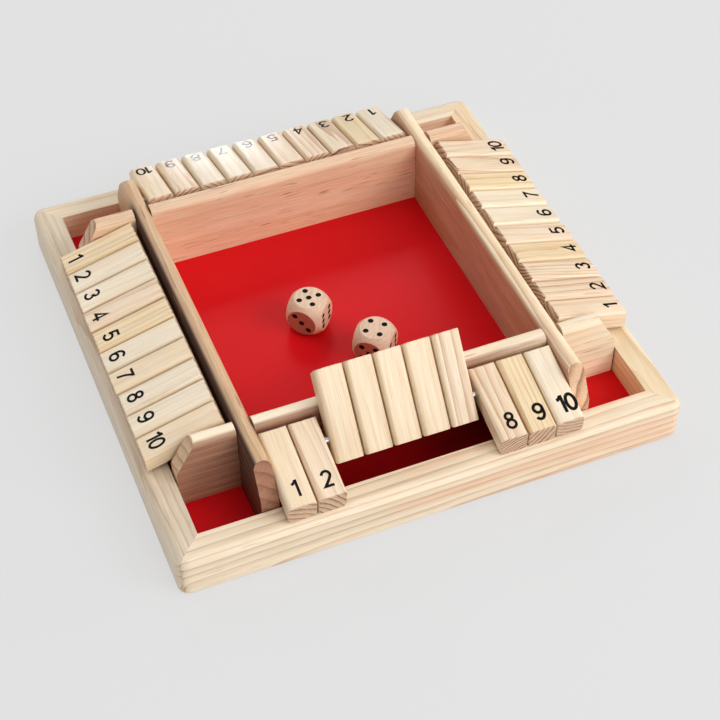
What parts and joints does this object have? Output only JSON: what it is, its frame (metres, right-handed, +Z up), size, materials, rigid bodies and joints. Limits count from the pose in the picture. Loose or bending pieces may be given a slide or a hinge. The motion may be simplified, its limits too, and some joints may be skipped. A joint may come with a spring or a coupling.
{
  "type": "shut the box game",
  "caption": "Square wooden tray game for players on every side: numbered flip tiles turn on steel rods around a glossy red dice tray with loose dice.",
  "frame": {"origin": "on the table under the middle of the tray", "axes": "+Z up; -Y towards the player whose middle tiles are flipped; +X to that player's right"},
  "size_m": [0.2208, 0.2208, 0.0569],
  "materials": {
    "frame_wood": "clear satin lacquer on pale pine",
    "wall_wood": "clear satin lacquer on pale pine",
    "tile_wood": "clear satin lacquer on pale pine, printed numbers",
    "red_panel": "high-gloss red lacquer on thin board",
    "rod_steel": "bright drawn steel",
    "die_wood": "clear satin lacquer, black pips"
  },
  "bodies": {
    "tray": {"base_panel": "red_panel", "front_rail": "frame_wood", "right_rail": "frame_wood", "back_rail": "frame_wood", "left_rail": "frame_wood", "front_wall": "wall_wood", "right_wall": "wall_wood", "back_wall": "wall_wood", "left_wall": "wall_wood", "front_rod": "rod_steel", "right_rod": "rod_steel", "back_rod": "rod_steel", "left_rod": "rod_steel"},
    "front_tile_1": {"front_tile_1": "tile_wood"},
    "front_tile_2": {"front_tile_2": "tile_wood"},
    "front_tile_3": {"front_tile_3": "tile_wood"},
    "front_tile_4": {"front_tile_4": "tile_wood"},
    "front_tile_5": {"front_tile_5": "tile_wood"},
    "front_tile_6": {"front_tile_6": "tile_wood"},
    "front_tile_7": {"front_tile_7": "tile_wood"},
    "front_tile_8": {"front_tile_8": "tile_wood"},
    "front_tile_9": {"front_tile_9": "tile_wood"},
    "front_tile_10": {"front_tile_10": "tile_wood"},
    "right_tile_1": {"right_tile_1": "tile_wood"},
    "right_tile_2": {"right_tile_2": "tile_wood"},
    "right_tile_3": {"right_tile_3": "tile_wood"},
    "right_tile_4": {"right_tile_4": "tile_wood"},
    "right_tile_5": {"right_tile_5": "tile_wood"},
    "right_tile_6": {"right_tile_6": "tile_wood"},
    "right_tile_7": {"right_tile_7": "tile_wood"},
    "right_tile_8": {"right_tile_8": "tile_wood"},
    "right_tile_9": {"right_tile_9": "tile_wood"},
    "right_tile_10": {"right_tile_10": "tile_wood"},
    "back_tile_1": {"back_tile_1": "tile_wood"},
    "back_tile_2": {"back_tile_2": "tile_wood"},
    "back_tile_3": {"back_tile_3": "tile_wood"},
    "back_tile_4": {"back_tile_4": "tile_wood"},
    "back_tile_5": {"back_tile_5": "tile_wood"},
    "back_tile_6": {"back_tile_6": "tile_wood"},
    "back_tile_7": {"back_tile_7": "tile_wood"},
    "back_tile_8": {"back_tile_8": "tile_wood"},
    "back_tile_9": {"back_tile_9": "tile_wood"},
    "back_tile_10": {"back_tile_10": "tile_wood"},
    "left_tile_1": {"left_tile_1": "tile_wood"},
    "left_tile_2": {"left_tile_2": "tile_wood"},
    "left_tile_3": {"left_tile_3": "tile_wood"},
    "left_tile_4": {"left_tile_4": "tile_wood"},
    "left_tile_5": {"left_tile_5": "tile_wood"},
    "left_tile_6": {"left_tile_6": "tile_wood"},
    "left_tile_7": {"left_tile_7": "tile_wood"},
    "left_tile_8": {"left_tile_8": "tile_wood"},
    "left_tile_9": {"left_tile_9": "tile_wood"},
    "left_tile_10": {"left_tile_10": "tile_wood"},
    "die_five": {"die_five": "die_wood"},
    "die_four": {"die_four": "die_wood"}
  },
  "joints": [
    {"name": "front_tile_1_flip", "type": "hinge", "parent": "tray", "child": "front_tile_1", "pos_m": [-0.05783, -0.0821, 0.0318], "axis": [-1, 0, 0], "range_deg": [0, 135.4]},
    {"name": "front_tile_2_flip", "type": "hinge", "parent": "tray", "child": "front_tile_2", "pos_m": [-0.04529, -0.0821, 0.0318], "axis": [-1, 0, 0], "range_deg": [0, 143]},
    {"name": "front_tile_3_flip", "type": "hinge", "parent": "tray", "child": "front_tile_3", "pos_m": [-0.03135, -0.0821, 0.0318], "axis": [-1, 0, 0], "range_deg": [-143, 0]},
    {"name": "front_tile_4_flip", "type": "hinge", "parent": "tray", "child": "front_tile_4", "pos_m": [-0.01881, -0.0821, 0.0318], "axis": [-1, 0, 0], "range_deg": [-143, 0]},
    {"name": "front_tile_5_flip", "type": "hinge", "parent": "tray", "child": "front_tile_5", "pos_m": [-0.00627, -0.0821, 0.0318], "axis": [-1, 0, 0], "range_deg": [-143, 0]},
    {"name": "front_tile_6_flip", "type": "hinge", "parent": "tray", "child": "front_tile_6", "pos_m": [0.00627, -0.0821, 0.0318], "axis": [-1, 0, 0], "range_deg": [-143, 0]},
    {"name": "front_tile_7_flip", "type": "hinge", "parent": "tray", "child": "front_tile_7", "pos_m": [0.01881, -0.0821, 0.0318], "axis": [-1, 0, 0], "range_deg": [-143, 0]},
    {"name": "front_tile_8_flip", "type": "hinge", "parent": "tray", "child": "front_tile_8", "pos_m": [0.03275, -0.0821, 0.0318], "axis": [-1, 0, 0], "range_deg": [0, 143]},
    {"name": "front_tile_9_flip", "type": "hinge", "parent": "tray", "child": "front_tile_9", "pos_m": [0.04529, -0.0821, 0.0318], "axis": [-1, 0, 0], "range_deg": [0, 143]},
    {"name": "front_tile_10_flip", "type": "hinge", "parent": "tray", "child": "front_tile_10", "pos_m": [0.05783, -0.0821, 0.0318], "axis": [-1, 0, 0], "range_deg": [0, 143]},
    {"name": "right_tile_1_flip", "type": "hinge", "parent": "tray", "child": "right_tile_1", "pos_m": [0.0821, -0.05668, 0.0318], "axis": [0, -1, 0], "range_deg": [0, 135.4]},
    {"name": "right_tile_2_flip", "type": "hinge", "parent": "tray", "child": "right_tile_2", "pos_m": [0.0821, -0.04404, 0.0318], "axis": [0, -1, 0], "range_deg": [0, 143]},
    {"name": "right_tile_3_flip", "type": "hinge", "parent": "tray", "child": "right_tile_3", "pos_m": [0.0821, -0.0314, 0.0318], "axis": [0, -1, 0], "range_deg": [0, 143]},
    {"name": "right_tile_4_flip", "type": "hinge", "parent": "tray", "child": "right_tile_4", "pos_m": [0.0821, -0.01876, 0.0318], "axis": [0, -1, 0], "range_deg": [0, 143]},
    {"name": "right_tile_5_flip", "type": "hinge", "parent": "tray", "child": "right_tile_5", "pos_m": [0.0821, -0.00612, 0.0318], "axis": [0, -1, 0], "range_deg": [0, 143]},
    {"name": "right_tile_6_flip", "type": "hinge", "parent": "tray", "child": "right_tile_6", "pos_m": [0.0821, 0.00652, 0.0318], "axis": [0, -1, 0], "range_deg": [0, 143]},
    {"name": "right_tile_7_flip", "type": "hinge", "parent": "tray", "child": "right_tile_7", "pos_m": [0.0821, 0.01916, 0.0318], "axis": [0, -1, 0], "range_deg": [0, 143]},
    {"name": "right_tile_8_flip", "type": "hinge", "parent": "tray", "child": "right_tile_8", "pos_m": [0.0821, 0.0318, 0.0318], "axis": [0, -1, 0], "range_deg": [0, 143]},
    {"name": "right_tile_9_flip", "type": "hinge", "parent": "tray", "child": "right_tile_9", "pos_m": [0.0821, 0.04444, 0.0318], "axis": [0, -1, 0], "range_deg": [0, 143]},
    {"name": "right_tile_10_flip", "type": "hinge", "parent": "tray", "child": "right_tile_10", "pos_m": [0.0821, 0.05708, 0.0318], "axis": [0, -1, 0], "range_deg": [0, 143]},
    {"name": "back_tile_1_flip", "type": "hinge", "parent": "tray", "child": "back_tile_1", "pos_m": [0.05728, 0.0821, 0.0318], "axis": [1, 0, 0], "range_deg": [0, 135.4]},
    {"name": "back_tile_2_flip", "type": "hinge", "parent": "tray", "child": "back_tile_2", "pos_m": [0.04464, 0.0821, 0.0318], "axis": [1, 0, 0], "range_deg": [0, 143]},
    {"name": "back_tile_3_flip", "type": "hinge", "parent": "tray", "child": "back_tile_3", "pos_m": [0.032, 0.0821, 0.0318], "axis": [1, 0, 0], "range_deg": [0, 143]},
    {"name": "back_tile_4_flip", "type": "hinge", "parent": "tray", "child": "back_tile_4", "pos_m": [0.01936, 0.0821, 0.0318], "axis": [1, 0, 0], "range_deg": [0, 143]},
    {"name": "back_tile_5_flip", "type": "hinge", "parent": "tray", "child": "back_tile_5", "pos_m": [0.00672, 0.0821, 0.0318], "axis": [1, 0, 0], "range_deg": [0, 143]},
    {"name": "back_tile_6_flip", "type": "hinge", "parent": "tray", "child": "back_tile_6", "pos_m": [-0.00592, 0.0821, 0.0318], "axis": [1, 0, 0], "range_deg": [0, 143]},
    {"name": "back_tile_7_flip", "type": "hinge", "parent": "tray", "child": "back_tile_7", "pos_m": [-0.01856, 0.0821, 0.0318], "axis": [1, 0, 0], "range_deg": [0, 143]},
    {"name": "back_tile_8_flip", "type": "hinge", "parent": "tray", "child": "back_tile_8", "pos_m": [-0.0312, 0.0821, 0.0318], "axis": [1, 0, 0], "range_deg": [0, 143]},
    {"name": "back_tile_9_flip", "type": "hinge", "parent": "tray", "child": "back_tile_9", "pos_m": [-0.04384, 0.0821, 0.0318], "axis": [1, 0, 0], "range_deg": [0, 143]},
    {"name": "back_tile_10_flip", "type": "hinge", "parent": "tray", "child": "back_tile_10", "pos_m": [-0.05648, 0.0821, 0.0318], "axis": [1, 0, 0], "range_deg": [0, 143]},
    {"name": "left_tile_1_flip", "type": "hinge", "parent": "tray", "child": "left_tile_1", "pos_m": [-0.0821, 0.05748, 0.0318], "axis": [0, 1, 0], "range_deg": [0, 135.4]},
    {"name": "left_tile_2_flip", "type": "hinge", "parent": "tray", "child": "left_tile_2", "pos_m": [-0.0821, 0.04484, 0.0318], "axis": [0, 1, 0], "range_deg": [0, 143]},
    {"name": "left_tile_3_flip", "type": "hinge", "parent": "tray", "child": "left_tile_3", "pos_m": [-0.0821, 0.0322, 0.0318], "axis": [0, 1, 0], "range_deg": [0, 143]},
    {"name": "left_tile_4_flip", "type": "hinge", "parent": "tray", "child": "left_tile_4", "pos_m": [-0.0821, 0.01956, 0.0318], "axis": [0, 1, 0], "range_deg": [0, 143]},
    {"name": "left_tile_5_flip", "type": "hinge", "parent": "tray", "child": "left_tile_5", "pos_m": [-0.0821, 0.00692, 0.0318], "axis": [0, 1, 0], "range_deg": [0, 143]},
    {"name": "left_tile_6_flip", "type": "hinge", "parent": "tray", "child": "left_tile_6", "pos_m": [-0.0821, -0.00572, 0.0318], "axis": [0, 1, 0], "range_deg": [0, 143]},
    {"name": "left_tile_7_flip", "type": "hinge", "parent": "tray", "child": "left_tile_7", "pos_m": [-0.0821, -0.01836, 0.0318], "axis": [0, 1, 0], "range_deg": [0, 143]},
    {"name": "left_tile_8_flip", "type": "hinge", "parent": "tray", "child": "left_tile_8", "pos_m": [-0.0821, -0.031, 0.0318], "axis": [0, 1, 0], "range_deg": [0, 143]},
    {"name": "left_tile_9_flip", "type": "hinge", "parent": "tray", "child": "left_tile_9", "pos_m": [-0.0821, -0.04364, 0.0318], "axis": [0, 1, 0], "range_deg": [0, 143]},
    {"name": "left_tile_10_flip", "type": "hinge", "parent": "tray", "child": "left_tile_10", "pos_m": [-0.0821, -0.05628, 0.0318], "axis": [0, 1, 0], "range_deg": [0, 143]},
    {"name": "die_five_lift", "type": "slide", "parent": "tray", "child": "die_five", "axis": [0, 0, 1], "range_m": [0, 0.045]},
    {"name": "die_four_lift", "type": "slide", "parent": "tray", "child": "die_four", "axis": [0, 0, 1], "range_m": [0, 0.045]}
  ]
}
